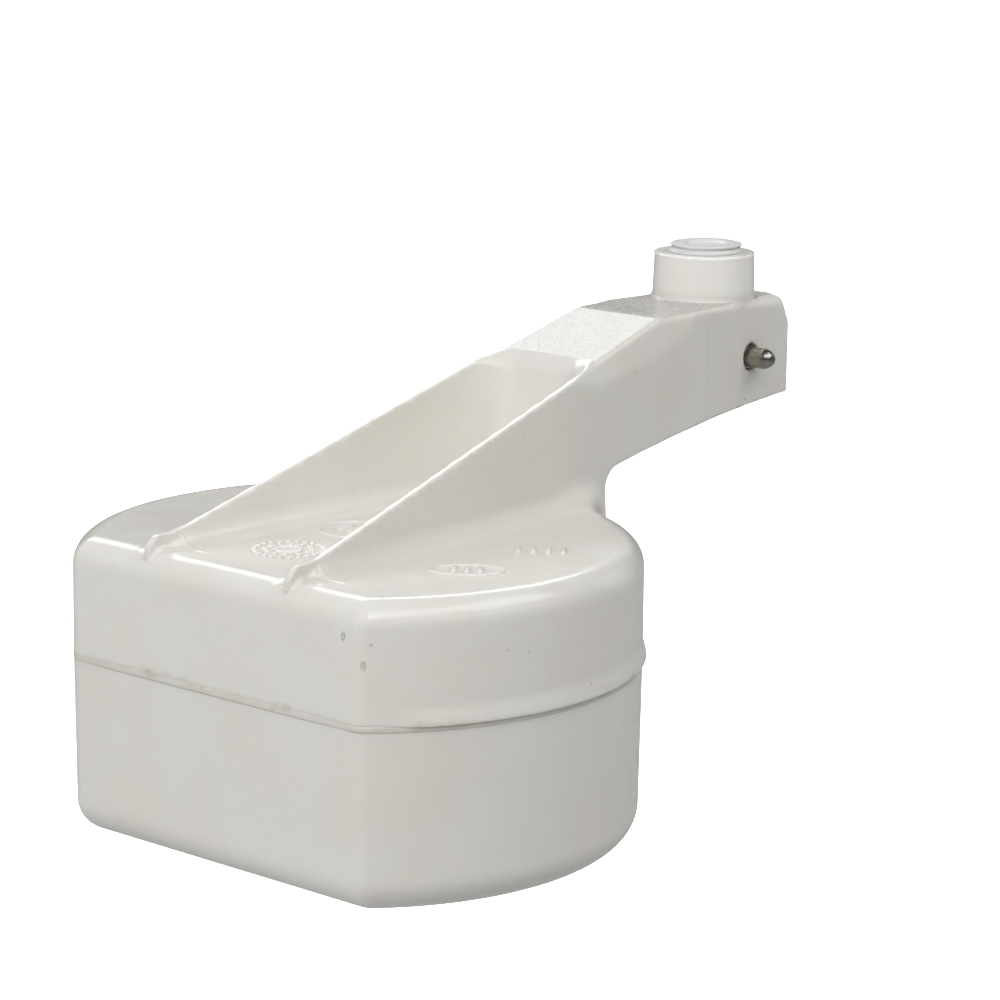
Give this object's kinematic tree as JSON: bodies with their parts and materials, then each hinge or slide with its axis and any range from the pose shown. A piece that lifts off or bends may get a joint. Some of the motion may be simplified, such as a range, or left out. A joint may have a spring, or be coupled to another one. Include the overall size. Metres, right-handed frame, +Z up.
{
  "type": "float valve float",
  "caption": "Hollow off-white float with one flat side, a sloping arm with thin wings, a boss holding a soft seal, and a steel hinge pin.",
  "frame": {"origin": "centre of the round wall, on the float's flat underside", "axes": "+X from the float toward the hinge block, +Y along the hinge pin, +Z up through the boss"},
  "size_m": [0.1514, 0.1014, 0.0951],
  "materials": {
    "shell": "glossy moulded off-white plastic with fine scuffs",
    "pan": "glossy moulded off-white plastic",
    "flash": "uneven squeezed-out weld line",
    "seal": "translucent soft seal",
    "pin": "drawn stainless rod"
  },
  "bodies": {
    "pin": {"hinge_pin": "pin"},
    "float": {"upper_shell": "shell", "lower_shell": "pan", "weld_flash": "flash", "valve_seal": "seal"}
  },
  "joints": [
    {"name": "float_swing", "type": "hinge", "parent": "pin", "child": "float", "pos_m": [0.1011, 0, 0.0734], "axis": [0, 1, 0], "range_deg": [-30, 0]}
  ]
}
